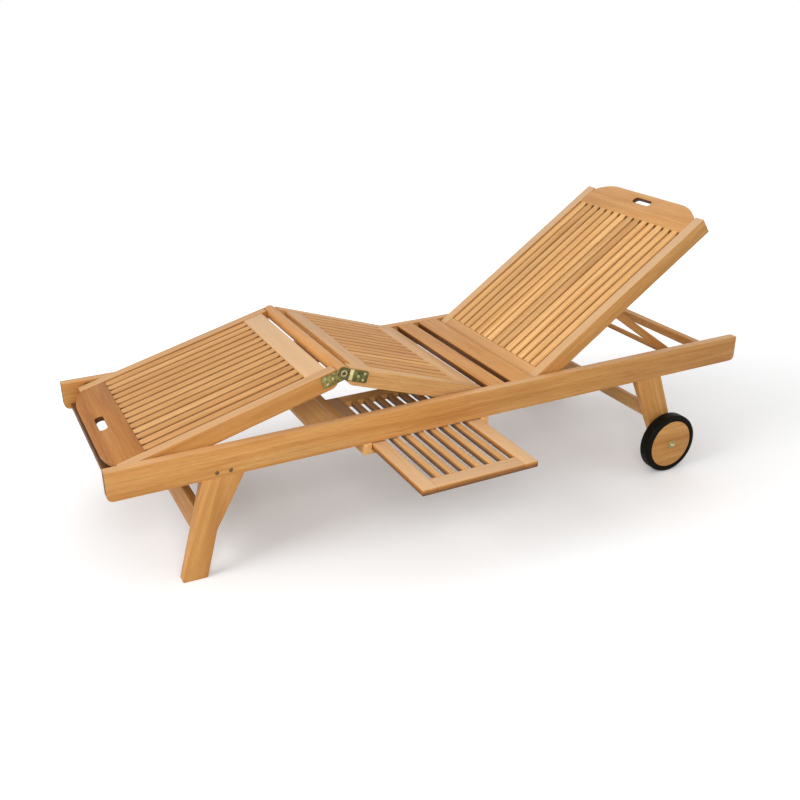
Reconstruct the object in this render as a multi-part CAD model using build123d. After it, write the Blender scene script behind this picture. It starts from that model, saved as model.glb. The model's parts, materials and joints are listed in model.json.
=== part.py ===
"""Reclining sun lounger of slatted hardwood.

A raised back on a prop, a hinged knee, a pull-out side tray and two wheels.
Sizes are millimetres. The model is laid out on the side rails: X runs from their foot end
to the head, Y across (the tray's side is minus), Z up from the soles of the foot legs.
The whole is then raked onto the floor and centred.
"""
import os
from math import asin, cos, degrees, radians, sin, sqrt, tan

from build123d import *

os.makedirs("parts", exist_ok=True)

# Side frame
WIDTH = 624.0
RAIL_LENGTH = 2000.0
RAIL_HEIGHT = 80.0
RAIL_THICK = 26.0
RAIL_TOP_HEIGHT = 360.0
RAIL_END_RADIUS = 16.0
RAKE = 1.42

# Panels: back, thigh and calf share one section
SIDE_GAP = 6.5
STILE_WIDTH = 33.0
STILE_DEPTH = 48.0
AXIS_DEPTH = 18.0
AXIS_BELOW_RAIL = 15.0
BOARD_THICK = 22.0
END_BOARD_THICK = 15.0
SLAT_COUNT = 14
SLAT_GAP = 8.5
SLAT_THICK = 14.0
SLAT_EASE = 2.0
REST_CLEARANCE = 1.0

# Back
BACK_PIVOT_X = 1263.0
BACK_ANGLE = 34.5
BACK_SPARE_ANGLE = 15.0
BACK_TAIL = 22.0
BACK_SLATS_FROM = 17.0
BACK_SLAT_LENGTH = 607.0
HEADBOARD_WIDTH = 100.5
HEADBOARD_PAST_STILES = 30.5
HEAD_SHOULDER_SPAN = 95.0
HEAD_SHOULDER_DROP = 42.0
HAND_SLOT_INSET = 31.0
HAND_SLOT_LENGTH = 82.0
HAND_SLOT_WIDTH = 23.0

# Prop under the back
PROP_REACH = 308.0
PROP_DROP = 10.0
PROP_LENGTH = 351.0
PROP_LEG_WIDTH = 22.0
PROP_LEG_THICK = 16.0
PROP_BAR_RADIUS = 8.5
RACK_MARGIN = 13.0
RACK_THICK = 18.0
RACK_CLEARANCE = 1.5
RACK_LIFT = 1.0
NOTCH_PLAY = 0.5
NOTCH_DEPTH = 6.0
NOTCH_BACK_ANGLES = (0.0, 17.0, 26.0, BACK_ANGLE, 42.0, BACK_ANGLE + BACK_SPARE_ANGLE)

# Thigh and knee
THIGH_PIVOT_X = 1040.0
THIGH_ANGLE = 18.75
THIGH_SPARE_ANGLE = 6.0
THIGH_LENGTH = 428.7
THIGH_TAIL = 14.0
THIGH_STILE_FROM = 14.0
THIGH_FRONT_RAIL_FROM = 36.0
THIGH_FRONT_RAIL_WIDTH = 56.0
THIGH_REAR_RAIL_WIDTH = 76.7
KNEE_BAR_RADIUS = 19.0
KNEE_SEAT = 0.2
KNEE_CORNER = 25.0

# Calf
CALF_REACH = 535.0
CALF_STILE_FROM = 17.0
CALF_CLEARANCE = 1.2
CALF_KNEE_RAIL_FROM = 33.0
CALF_KNEE_RAIL_WIDTH = 61.0
FOOT_BOARD_WIDTH = 101.0
FOOT_BOARD_PAST_PINS = 100.0
FOOT_BOARD_PAST_STILES = 28.0
FOOT_SHOULDER_SPAN = 105.0
FOOT_SHOULDER_DROP = 28.0
FOOT_SLOT_INSET = 39.5
FOOT_SLOT_LENGTH = 84.0
FOOT_SLOT_WIDTH = 23.0
GROOVE_PLAY = 2.0
GROOVE_END_PLAY = 10.0
GROOVE_DEPTH = 9.0
GROOVE_FLOOR_PLAY = 1.0

# Knee hinges
LEAF_THICK = 4.0
LEAF_LENGTH = 43.0
LEAF_HEIGHT = 33.0
LEAF_BELOW_AXIS = 18.0
LEAF_CORNER = 5.0
LEAF_LAP = 1.0
CALF_LEAF_FROM = 20.0
THIGH_LEAF_FROM = 29.0
DISC_RADIUS = 17.5
DISC_GAP = 0.1
KNEE_PIN_RADIUS = 4.0
KNEE_PIN_DEPTH = 25.0
KNEE_HEAD_RADIUS = 9.0
KNEE_HEAD_HEIGHT = 1.2

# Pins and running fits
PIN_RADIUS = 5.0
PIN_IN_RAIL = 14.0
PIN_IN_STILE = 20.0
FIT = 0.05

# Cross members between the side frames
CROSSBAR_THICK = 26.0
FOOT_CROSSBAR_INSET = 18.0
FOOT_CROSSBAR_HEIGHT = 17.0
HEAD_CROSSBAR_INSET = 38.0
HEAD_CROSSBAR_HEIGHT = 26.0
KNEE_BOARD_BEFORE_TRAY = 60.0
KNEE_BOARD_WIDTH = 75.0
KNEE_BOARD_THICK = 18.0
STRETCHER_THICK = 22.0
FOOT_STRETCHER_INSET = 60.0
FOOT_STRETCHER_BASE = 87.0
FOOT_STRETCHER_HEIGHT = 98.0
HEAD_STRETCHER_BEFORE_AXLE = 60.0
HEAD_STRETCHER_BASE = 139.0
HEAD_STRETCHER_HEIGHT = 39.0
SEAT_SLAT_THICK = 20.0
SEAT_SLAT_PAST_THIGH = 39.0
SEAT_SLAT_NARROW = 56.0
SEAT_SLAT_BEFORE_BACK = 34.0
SEAT_SLAT_WIDE = 72.0

# Legs
FOOT_SOLE_FROM = 154.0
FOOT_SOLE_LENGTH = 67.0
FOOT_LEG_LEAN = 0.275
FOOT_LEG_KINK_HEIGHT = 133.0
FOOT_LEG_TOP_OFFSET = 77.0
FOOT_LEG_TOP_LENGTH = 110.0
HEAD_LEG_TOP_BEFORE_AXLE = 126.0
HEAD_LEG_TOP_LENGTH = 97.0
HEAD_LEG_FOOT_BEFORE_AXLE = 27.0
HEAD_LEG_FOOT_LENGTH = 80.0
SOLE_RADIUS = 5.0
TONGUE_RISE = 45.0
TONGUE_INSET = 8.0
BOLT_INSET = 39.0
BOLT_SPACING = 36.0
BOLT_ABOVE_EDGE = 14.5
BOLT_RADIUS = 3.0
BOLT_HEAD_RADIUS = 6.0
BOLT_HEAD_HEIGHT = 2.5
BOLT_LENGTH = 22.0

# Side tray
TRAY_FROM = 699.0
TRAY_WIDTH = 341.0
TRAY_LENGTH = 610.0
TRAY_OUT = 285.0
TRAY_THICK = 18.0
TRAY_DROP = 3.5
TRAY_STILE = 42.0
TRAY_RAIL = 46.0
TRAY_SLOTS = 7
TRAY_SLOT_WIDTH = 22.5
GUIDE_WIDTH = 25.0
GUIDE_LEDGE = 13.0
GUIDE_LEDGE_THICK = 12.0
GUIDE_PLAY = 1.0
LEDGE_PLAY = 0.3

# Wheels
AXLE_X = 1728.0
AXLE_RADIUS = 6.0
AXLE_HEAD_RADIUS = 10.0
AXLE_HEAD_HEIGHT = 6.0
WHEEL_RADIUS = 96.0
DISC_WHEEL_RADIUS = 78.0
WHEEL_THICK = 38.0
TYRE_EASE = 7.0
BUSH_RADIUS = 11.0
BUSH_PROUD = 1.0
SPACER_LENGTH = 9.5
SPACER_RADIUS = 10.0
WASHER_RADIUS = 13.0
WASHER_THICK = 2.0
NUT_RADIUS = 10.0
NUT_HEIGHT = 6.0
END_PLAY = 0.5

# Worked out from the driving sizes
HALF = WIDTH / 2
INNER = HALF - RAIL_THICK
PANEL_HALF = INNER - SIDE_GAP
STILE_INNER = PANEL_HALF - STILE_WIDTH
RAIL_BOTTOM = RAIL_TOP_HEIGHT - RAIL_HEIGHT
RAIL_MIDDLE = RAIL_TOP_HEIGHT - RAIL_HEIGHT / 2
PIVOT_Z = RAIL_TOP_HEIGHT - AXIS_BELOW_RAIL
STILE_LOW = AXIS_DEPTH - STILE_DEPTH
BOARD_LOW = AXIS_DEPTH - BOARD_THICK
REST_Z = PIVOT_Z + STILE_LOW - REST_CLEARANCE
SLAT_WIDTH = (2 * STILE_INNER - (SLAT_COUNT + 1) * SLAT_GAP) / SLAT_COUNT
BACK_SLATS_TO = BACK_SLATS_FROM + BACK_SLAT_LENGTH
HEADBOARD_TO = BACK_SLATS_TO + HEADBOARD_WIDTH
KNEE_X = THIGH_PIVOT_X - THIGH_LENGTH * cos(radians(THIGH_ANGLE))
KNEE_Z = PIVOT_Z + THIGH_LENGTH * sin(radians(THIGH_ANGLE))
CALF_ANGLE = degrees(asin((KNEE_Z - PIVOT_Z) / CALF_REACH))
FOOT_BOARD_TO = CALF_REACH + FOOT_BOARD_PAST_PINS
FOOT_BOARD_FROM = FOOT_BOARD_TO - FOOT_BOARD_WIDTH
CALF_SLATS_FROM = CALF_KNEE_RAIL_FROM + CALF_KNEE_RAIL_WIDTH
FOOT_SOLE = (FOOT_SOLE_FROM, FOOT_SOLE_FROM + FOOT_SOLE_LENGTH)
FOOT_X = FOOT_SOLE_FROM + FOOT_SOLE_LENGTH / 2
FOOT_LEG_TOP_FROM = FOOT_SOLE_FROM + FOOT_LEG_TOP_OFFSET
FOOT_LEG_TOP = (FOOT_LEG_TOP_FROM, FOOT_LEG_TOP_FROM + FOOT_LEG_TOP_LENGTH)
HEAD_LEG_TOP_FROM = AXLE_X - HEAD_LEG_TOP_BEFORE_AXLE
HEAD_LEG_TOP = (HEAD_LEG_TOP_FROM, HEAD_LEG_TOP_FROM + HEAD_LEG_TOP_LENGTH)
AXLE_Z = WHEEL_RADIUS / cos(radians(RAKE)) - (AXLE_X - FOOT_X) * tan(radians(RAKE))
TONGUE_THICK = RAIL_THICK / 2
BOLTS_X = (FOOT_LEG_TOP_FROM + BOLT_INSET, FOOT_LEG_TOP_FROM + BOLT_INSET + BOLT_SPACING)
TRAY_TO = TRAY_FROM + TRAY_WIDTH
TRAY_TOP = RAIL_BOTTOM - TRAY_DROP
TRAY_OUTER = -HALF - TRAY_OUT
PROP_FOOT_Z = REST_Z - PROP_BAR_RADIUS
RACK_TOP = PROP_FOOT_Z - PROP_BAR_RADIUS - RACK_CLEARANCE
HEAD_CROSSBAR_TO = RAIL_LENGTH - HEAD_CROSSBAR_INSET

nodes = {}


def box(x, y, z):
    """A box from three (low, high) pairs."""
    centre = Pos(sum(x) / 2, sum(y) / 2, sum(z) / 2)
    return centre * Box(x[1] - x[0], y[1] - y[0], z[1] - z[0])


def rod(x, z, radius, y):
    """A round rod along Y, from y[0] to y[1]."""
    return Pos(x, sum(y) / 2, z) * Rot(90, 0, 0) * Cylinder(radius, y[1] - y[0])


def side_plate(sketch, y):
    """A side-view outline, drawn as (X, Z), given its thickness along Y."""
    return extrude(Plane.XZ.offset(-y[1]) * sketch, y[1] - y[0])


def far_side(part):
    """The same piece on the other side of the centre line."""
    return mirror(part, about=Plane.XZ)


def pair(name, near):
    """A near piece and its mirrored far one, as two nodes."""
    nodes[name + "_near"] = near
    nodes[name + "_far"] = far_side(near)


def both(near):
    """A near piece and its mirrored far one, as one node."""
    return Part() + [near, far_side(near)]


def near_span(outer, inner):
    """A Y range on the near side from two distances off the centre line."""
    return (-outer, -inner)


def floor_z(x):
    """Height of the floor below the rails' frame at a given X."""
    return -(x - FOOT_X) * tan(radians(RAKE))


def eased_plank(x, y, z, ease):
    """A plank along X whose two top edges are planed off."""
    outline = [(y[0], z[0]), (y[1], z[0]), (y[1], z[1] - ease)]
    outline += [(y[1] - ease, z[1]), (y[0] + ease, z[1]), (y[0], z[1] - ease)]
    face = Plane.YZ.offset(x[0]) * make_face(Polyline(*outline, close=True))
    return extrude(face, x[1] - x[0])


def back_place(angle):
    """Where the back's own axes stand at a given angle."""
    return Pos(BACK_PIVOT_X, 0, PIVOT_Z) * Rot(0, -angle, 0)


THIGH_PLACE = Pos(KNEE_X, 0, KNEE_Z) * Rot(0, THIGH_ANGLE, 0)
CALF_PLACE = Pos(KNEE_X, 0, KNEE_Z) * Rot(0, -CALF_ANGLE, 0)
BACK_PLACE = back_place(BACK_ANGLE)


def prop_hinge(angle):
    """X and Z of the prop's hinge when the back stands at a given angle."""
    turn = radians(angle)
    x = BACK_PIVOT_X + PROP_REACH * cos(turn) + PROP_DROP * sin(turn)
    return x, PIVOT_Z + PROP_REACH * sin(turn) - PROP_DROP * cos(turn)


def prop_foot_x(angle):
    """X of the prop's foot bar when the back stands at a given angle."""
    x, z = prop_hinge(angle)
    return x + sqrt(PROP_LENGTH ** 2 - (z - PROP_FOOT_Z) ** 2)


def foot_pin_x(angle):
    """X of the calf's foot pins when the thigh stands at a given angle."""
    turn = radians(angle)
    rise = THIGH_LENGTH * sin(turn)
    return THIGH_PIVOT_X - THIGH_LENGTH * cos(turn) - sqrt(CALF_REACH ** 2 - rise ** 2)


def slats(x):
    """The row of slats between a panel's stiles."""
    pitch = SLAT_WIDTH + SLAT_GAP
    starts = [-STILE_INNER + SLAT_GAP + i * pitch for i in range(SLAT_COUNT)]
    z = (AXIS_DEPTH - SLAT_THICK, AXIS_DEPTH)
    return Part() + [eased_plank(x, (y, y + SLAT_WIDTH), z, SLAT_EASE) for y in starts]


def panel_rail(x):
    """A flat rail across a panel, between its stiles."""
    return box(x, (-STILE_INNER, STILE_INNER), (BOARD_LOW, AXIS_DEPTH))


def near_stile(x):
    """A panel's near stile."""
    return box(x, near_span(PANEL_HALF, STILE_INNER), (STILE_LOW, AXIS_DEPTH))


def knee_stile(x):
    """A near stile whose lower corner at the knee is rounded."""
    outline = Pos(sum(x) / 2, (STILE_LOW + AXIS_DEPTH) / 2) * Rectangle(x[1] - x[0], STILE_DEPTH)
    knee_end = outline.vertices().sort_by(lambda v: abs(v.X))[:2]
    lower = knee_end.sort_by(Axis.Y)[0]
    return side_plate(fillet(lower, KNEE_CORNER), near_span(PANEL_HALF, STILE_INNER))


def cross_slot(x, length, width):
    """A hand slot's outline, lying across a panel."""
    return Pos(x, 0) * Rot(0, 0, 90) * SlotOverall(length, width)


def end_board(x, span, drop, opening):
    """A panel's end board: its outer edge curves down to the stiles, and a slot is cut through."""
    radius = (span ** 2 + drop ** 2) / (2 * drop)
    half_turn = asin(span / radius) / 2
    flat = STILE_INNER - span
    low = x[1] - drop
    bend_x = x[1] - radius * (1 - cos(half_turn))
    bend_y = flat + radius * sin(half_turn)
    edge = Polyline((low, STILE_INNER), (x[0], STILE_INNER), (x[0], -STILE_INNER), (low, -STILE_INNER))
    edge += ThreePointArc((low, -STILE_INNER), (bend_x, -bend_y), (x[1], -flat))
    edge += Line((x[1], -flat), (x[1], flat))
    edge += ThreePointArc((x[1], flat), (bend_x, bend_y), (low, STILE_INNER))
    outline = make_face(edge) - opening
    return extrude(Plane.XY.offset(AXIS_DEPTH - END_BOARD_THICK) * outline, END_BOARD_THICK)


def stile_pin_hole(x, z):
    """A blind hole into the near stile's outer face."""
    return rod(x, z, PIN_RADIUS + FIT, near_span(PANEL_HALF, PANEL_HALF - PIN_IN_STILE))


def foot_leg_outline():
    """The foot leg's side view: a leaning leg that widens to meet the rail."""
    kink_x = FOOT_SOLE[1] + FOOT_LEG_LEAN * FOOT_LEG_KINK_HEIGHT
    points = [(x, floor_z(x)) for x in FOOT_SOLE]
    points += [(kink_x, FOOT_LEG_KINK_HEIGHT), (FOOT_LEG_TOP[1], RAIL_BOTTOM)]
    points += [(FOOT_LEG_TOP[0], RAIL_BOTTOM)]
    outline = make_face(Polyline(*points, close=True))
    toe = outline.vertices().filter_by(lambda v: v.Y < FOOT_LEG_KINK_HEIGHT / 2)
    return fillet(toe, SOLE_RADIUS)


def head_leg_outline():
    """The head leg's side view: it leans the other way and is round at the axle."""
    half = HEAD_LEG_FOOT_LENGTH / 2
    foot = AXLE_X - HEAD_LEG_FOOT_BEFORE_AXLE
    points = [(HEAD_LEG_TOP[0], RAIL_BOTTOM), (foot, AXLE_Z)]
    points += [(foot + 2 * half, AXLE_Z), (HEAD_LEG_TOP[1], RAIL_BOTTOM)]
    return make_face(Polyline(*points, close=True)) + Pos(foot + half, AXLE_Z) * Circle(half)


def tongue(top):
    """The tongue on a leg's top, housed in the rail's inner half."""
    x = (top[0] + TONGUE_INSET, top[1] - TONGUE_INSET)
    return box(x, near_span(INNER + TONGUE_THICK, INNER), (RAIL_BOTTOM, RAIL_BOTTOM + TONGUE_RISE))


def bolt_holes(radius):
    """The two holes for the bolts of the near foot leg."""
    z = RAIL_BOTTOM + BOLT_ABOVE_EDGE
    return [rod(x, z, radius, near_span(HALF, HALF - BOLT_LENGTH)) for x in BOLTS_X]


def build_rails():
    """Two side rails with housings for the legs, blind pin holes and the foot pins' groove."""
    outline = Pos(RAIL_LENGTH / 2, RAIL_MIDDLE) * Rectangle(RAIL_LENGTH, RAIL_HEIGHT)
    lower = outline.vertices().filter_by(lambda v: v.Y < RAIL_MIDDLE)
    rail = side_plate(fillet(lower, RAIL_END_RADIUS), near_span(HALF, INNER))
    rail -= [tongue(FOOT_LEG_TOP), tongue(HEAD_LEG_TOP)]
    for x in (THIGH_PIVOT_X, BACK_PIVOT_X):
        rail -= rod(x, PIVOT_Z, PIN_RADIUS + FIT, near_span(INNER + PIN_IN_RAIL, INNER))
    reach = PIN_RADIUS + GROOVE_END_PLAY
    start = foot_pin_x(0) - reach
    end = foot_pin_x(THIGH_ANGLE + THIGH_SPARE_ANGLE) + reach
    groove = Pos((start + end) / 2, PIVOT_Z) * SlotOverall(end - start, 2 * (PIN_RADIUS + GROOVE_PLAY))
    rail -= side_plate(groove, near_span(INNER + GROOVE_DEPTH, INNER))
    pair("side_rail", rail - bolt_holes(BOLT_RADIUS + FIT))


def build_legs():
    """Four legs, their stretchers and the bolts that show on the foot legs."""
    thickness = near_span(HALF, INNER)
    foot = side_plate(foot_leg_outline(), thickness) + tongue(FOOT_LEG_TOP)
    pair("foot_leg", foot - bolt_holes(BOLT_RADIUS + FIT))
    head = side_plate(head_leg_outline(), thickness) + tongue(HEAD_LEG_TOP)
    pair("head_leg", head - rod(AXLE_X, AXLE_Z, AXLE_RADIUS + FIT, thickness))
    cap = Pos(0, -HALF - BOLT_HEAD_HEIGHT / 2, RAIL_BOTTOM + BOLT_ABOVE_EDGE) * Rot(90, 0, 0)
    cap *= Cylinder(BOLT_HEAD_RADIUS, BOLT_HEAD_HEIGHT)
    heads = [Pos(x, 0, 0) * cap for x in BOLTS_X]
    nodes["leg_bolts"] = both(Part() + bolt_holes(BOLT_RADIUS) + heads)


def cross_member(name, x, z):
    """A straight member that spans from rail to rail or from leg to leg."""
    nodes[name] = box(x, (-INNER, INNER), z)


def build_cross_members():
    """The bars, boards and fixed seat slats between the side frames."""
    foot_end = (FOOT_CROSSBAR_INSET, FOOT_CROSSBAR_INSET + CROSSBAR_THICK)
    cross_member("foot_crossbar", foot_end, (RAIL_BOTTOM, RAIL_BOTTOM + FOOT_CROSSBAR_HEIGHT))
    head_end = (HEAD_CROSSBAR_TO - CROSSBAR_THICK, HEAD_CROSSBAR_TO)
    cross_member("head_crossbar", head_end, (REST_Z - HEAD_CROSSBAR_HEIGHT, REST_Z))
    board = (TRAY_FROM - KNEE_BOARD_BEFORE_TRAY - KNEE_BOARD_WIDTH, TRAY_FROM - KNEE_BOARD_BEFORE_TRAY)
    cross_member("knee_board", board, (REST_Z - KNEE_BOARD_THICK, REST_Z))
    foot_x = FOOT_SOLE_FROM + FOOT_STRETCHER_INSET
    foot_z = (FOOT_STRETCHER_BASE, FOOT_STRETCHER_BASE + FOOT_STRETCHER_HEIGHT)
    cross_member("foot_stretcher", (foot_x, foot_x + STRETCHER_THICK), foot_z)
    head_x = AXLE_X - HEAD_STRETCHER_BEFORE_AXLE
    head_z = (HEAD_STRETCHER_BASE, HEAD_STRETCHER_BASE + HEAD_STRETCHER_HEIGHT)
    cross_member("head_stretcher", (head_x, head_x + STRETCHER_THICK), head_z)
    seat_z = (RAIL_TOP_HEIGHT - SEAT_SLAT_THICK, RAIL_TOP_HEIGHT)
    narrow = THIGH_PIVOT_X + SEAT_SLAT_PAST_THIGH
    cross_member("seat_slat_1", (narrow, narrow + SEAT_SLAT_NARROW), seat_z)
    wide = BACK_PIVOT_X - SEAT_SLAT_BEFORE_BACK
    cross_member("seat_slat_2", (wide - SEAT_SLAT_WIDE, wide), seat_z)


def build_racks():
    """Notched racks on the rails, which the prop's foot bar drops into."""
    start = prop_foot_x(BACK_ANGLE + BACK_SPARE_ANGLE) - RACK_MARGIN
    crossbar = HEAD_CROSSBAR_TO - CROSSBAR_THICK
    end = min(prop_foot_x(0) + RACK_MARGIN, crossbar - RACK_CLEARANCE)
    span = near_span(INNER, INNER - RACK_THICK)
    rack = box((start, end), span, (RAIL_BOTTOM + RACK_LIFT, RACK_TOP))
    radius = PROP_BAR_RADIUS + NOTCH_PLAY
    for angle in NOTCH_BACK_ANGLES:
        rack -= rod(prop_foot_x(angle), RACK_TOP + radius - NOTCH_DEPTH, radius, span)
    pair("prop_rack", rack)


def build_frame_pins():
    """Blind pins that the back and the thigh panel turn on."""
    span = near_span(INNER + PIN_IN_RAIL, PANEL_HALF - PIN_IN_STILE)
    nodes["back_pins"] = both(rod(BACK_PIVOT_X, PIVOT_Z, PIN_RADIUS, span))
    nodes["thigh_pins"] = both(rod(THIGH_PIVOT_X, PIVOT_Z, PIN_RADIUS, span))


def build_back():
    """The back: stiles, bottom rail, slats, headboard with its hand slot, and the prop's pins."""
    stile = near_stile((-BACK_TAIL, HEADBOARD_TO - HEADBOARD_PAST_STILES)) - stile_pin_hole(0, 0)
    reach = near_span(STILE_INNER + PIN_IN_STILE, STILE_INNER - PROP_LEG_THICK - END_PLAY)
    stile -= rod(PROP_REACH, -PROP_DROP, PIN_RADIUS + FIT, reach)
    pair("back_stile", BACK_PLACE * stile)
    nodes["back_rail"] = BACK_PLACE * panel_rail((-BACK_TAIL, BACK_SLATS_FROM))
    nodes["back_slats"] = BACK_PLACE * slats((BACK_SLATS_FROM, BACK_SLATS_TO))
    slot = cross_slot(HEADBOARD_TO - HAND_SLOT_INSET, HAND_SLOT_LENGTH, HAND_SLOT_WIDTH)
    board = end_board((BACK_SLATS_TO, HEADBOARD_TO), HEAD_SHOULDER_SPAN, HEAD_SHOULDER_DROP, slot)
    nodes["headboard"] = BACK_PLACE * board
    nodes["prop_pins"] = BACK_PLACE * both(rod(PROP_REACH, -PROP_DROP, PIN_RADIUS, reach))


def build_prop():
    """The prop: two legs that swing from the back's stiles, and the bar across their feet."""
    x, z = prop_hinge(BACK_ANGLE)
    slope = degrees(asin((z - PROP_FOOT_Z) / PROP_LENGTH))
    span = near_span(STILE_INNER - END_PLAY, STILE_INNER - END_PLAY - PROP_LEG_THICK)
    outline = Pos(PROP_LENGTH / 2, 0) * SlotCenterToCenter(PROP_LENGTH, PROP_LEG_WIDTH)
    leg = side_plate(outline, span) - rod(0, 0, PIN_RADIUS + FIT, span)
    leg -= rod(PROP_LENGTH, 0, PROP_BAR_RADIUS + FIT, span)
    pair("prop_leg", Pos(x, 0, z) * Rot(0, slope, 0) * leg)
    length = INNER - RACK_CLEARANCE * 2
    nodes["prop_bar"] = rod(prop_foot_x(BACK_ANGLE), PROP_FOOT_Z, PROP_BAR_RADIUS, (-length, length))


def leaf(direction, start, disc_layer):
    """A cast hinge leaf: a plate on the stile and a half-thick disc round the knee pin."""
    middle = LEAF_HEIGHT / 2 - LEAF_BELOW_AXIS
    plate = RectangleRounded(LEAF_LENGTH, LEAF_HEIGHT, LEAF_CORNER)
    plate = Pos(direction * (start + LEAF_LENGTH / 2), middle) * plate
    square = Rectangle(2 * LEAF_CORNER, LEAF_HEIGHT)
    plate += Pos(direction * (start + LEAF_CORNER), middle) * square
    neck = Rectangle(start + LEAF_LAP, LEAF_HEIGHT)
    neck = Pos(direction * (start + LEAF_LAP) / 2, middle) * neck
    part = side_plate(plate, near_span(PANEL_HALF + LEAF_THICK, PANEL_HALF))
    part += side_plate(neck + Circle(DISC_RADIUS), disc_layer)
    return part - rod(0, 0, KNEE_PIN_RADIUS + FIT, disc_layer)


def build_thigh():
    """The thigh panel, with the knee bar and the inner half of each knee hinge."""
    rear = THIGH_LENGTH + THIGH_TAIL
    stile = knee_stile((THIGH_STILE_FROM, rear)) - stile_pin_hole(THIGH_LENGTH, 0)
    stile -= rod(0, 0, KNEE_BAR_RADIUS + KNEE_SEAT, near_span(PANEL_HALF, STILE_INNER))
    pair("thigh_stile", THIGH_PLACE * stile)
    slats_from = THIGH_FRONT_RAIL_FROM + THIGH_FRONT_RAIL_WIDTH
    slats_to = rear - THIGH_REAR_RAIL_WIDTH
    nodes["thigh_front_rail"] = THIGH_PLACE * panel_rail((THIGH_FRONT_RAIL_FROM, slats_from))
    nodes["thigh_rear_rail"] = THIGH_PLACE * panel_rail((slats_to, rear))
    nodes["thigh_slats"] = THIGH_PLACE * slats((slats_from, slats_to))
    inner_half = near_span(PANEL_HALF + LEAF_THICK / 2, PANEL_HALF)
    pair("thigh_leaf", THIGH_PLACE * leaf(1, THIGH_LEAF_FROM, inner_half))
    face = -PANEL_HALF - LEAF_THICK - DISC_GAP
    head = rod(0, 0, KNEE_HEAD_RADIUS, (face - KNEE_HEAD_HEIGHT, face))
    pin = head + rod(0, 0, KNEE_PIN_RADIUS, (face, KNEE_PIN_DEPTH - PANEL_HALF))
    nodes["knee_pins"] = THIGH_PLACE * both(pin)
    bar = rod(0, 0, KNEE_BAR_RADIUS, (-PANEL_HALF, PANEL_HALF))
    hole = rod(0, 0, KNEE_PIN_RADIUS + FIT, near_span(PANEL_HALF, PANEL_HALF - KNEE_PIN_DEPTH))
    nodes["knee_bar"] = THIGH_PLACE * (bar - hole - far_side(hole))


def build_calf():
    """The calf panel, with the outer half of each knee hinge and the pins at its foot."""
    stile = knee_stile((FOOT_BOARD_PAST_STILES - FOOT_BOARD_TO, -CALF_STILE_FROM))
    stile -= stile_pin_hole(-CALF_REACH, 0)
    stile -= rod(0, 0, KNEE_BAR_RADIUS + CALF_CLEARANCE, near_span(PANEL_HALF, STILE_INNER))
    pair("calf_stile", CALF_PLACE * stile)
    nodes["calf_knee_rail"] = CALF_PLACE * panel_rail((-CALF_SLATS_FROM, -CALF_KNEE_RAIL_FROM))
    nodes["calf_slats"] = CALF_PLACE * slats((-FOOT_BOARD_FROM, -CALF_SLATS_FROM))
    slot = cross_slot(FOOT_BOARD_TO - FOOT_SLOT_INSET, FOOT_SLOT_LENGTH, FOOT_SLOT_WIDTH)
    board = end_board((FOOT_BOARD_FROM, FOOT_BOARD_TO), FOOT_SHOULDER_SPAN, FOOT_SHOULDER_DROP, slot)
    nodes["foot_board"] = CALF_PLACE * Rot(0, 0, 180) * board
    outer_half = near_span(PANEL_HALF + LEAF_THICK, PANEL_HALF + LEAF_THICK / 2 + DISC_GAP)
    pair("calf_leaf", CALF_PLACE * leaf(-1, CALF_LEAF_FROM, outer_half))
    span = near_span(INNER + GROOVE_DEPTH - GROOVE_FLOOR_PLAY, PANEL_HALF - PIN_IN_STILE)
    nodes["foot_pins"] = CALF_PLACE * both(rod(-CALF_REACH, 0, PIN_RADIUS, span))


def guide_outline(inner_x, direction):
    """A tray guide's section: a batten with a ledge under the tray's edge."""
    ledge_z = TRAY_TOP - TRAY_THICK - LEDGE_PLAY
    bottom = ledge_z - GUIDE_LEDGE_THICK
    outer_x = inner_x - direction * GUIDE_WIDTH
    lip_x = inner_x + direction * GUIDE_LEDGE
    points = [(outer_x, RAIL_BOTTOM), (outer_x, bottom), (lip_x, bottom)]
    points += [(lip_x, ledge_z), (inner_x, ledge_z), (inner_x, RAIL_BOTTOM)]
    return make_face(Polyline(*points, close=True))


def build_tray():
    """The slatted side tray, pulled out, and the two guides it slides in."""
    y = (TRAY_OUTER, TRAY_OUTER + TRAY_LENGTH)
    z = (TRAY_TOP - TRAY_THICK, TRAY_TOP)
    field = (TRAY_FROM + TRAY_STILE, TRAY_TO - TRAY_STILE)
    nodes["tray_stile_foot"] = box((TRAY_FROM, field[0]), y, z)
    nodes["tray_stile_head"] = box((field[1], TRAY_TO), y, z)
    nodes["tray_rail_outer"] = box(field, (y[0], y[0] + TRAY_RAIL), z)
    nodes["tray_rail_inner"] = box(field, (y[1] - TRAY_RAIL, y[1]), z)
    width = (field[1] - field[0] - TRAY_SLOTS * TRAY_SLOT_WIDTH) / (TRAY_SLOTS - 1)
    pitch = width + TRAY_SLOT_WIDTH
    starts = [field[0] + TRAY_SLOT_WIDTH + i * pitch for i in range(TRAY_SLOTS - 1)]
    run = (y[0] + TRAY_RAIL, y[1] - TRAY_RAIL)
    nodes["tray_slats"] = Part() + [box((x, x + width), run, z) for x in starts]
    foot_guide = guide_outline(TRAY_FROM - GUIDE_PLAY, 1)
    head_guide = guide_outline(TRAY_TO + GUIDE_PLAY, -1)
    nodes["tray_guide_foot"] = side_plate(foot_guide, (-HALF, HALF))
    nodes["tray_guide_head"] = side_plate(head_guide, (-HALF, HALF))


def ring(outer, inner, y):
    """A ring about the axle."""
    return rod(AXLE_X, AXLE_Z, outer, y) - rod(AXLE_X, AXLE_Z, inner, y)


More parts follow.
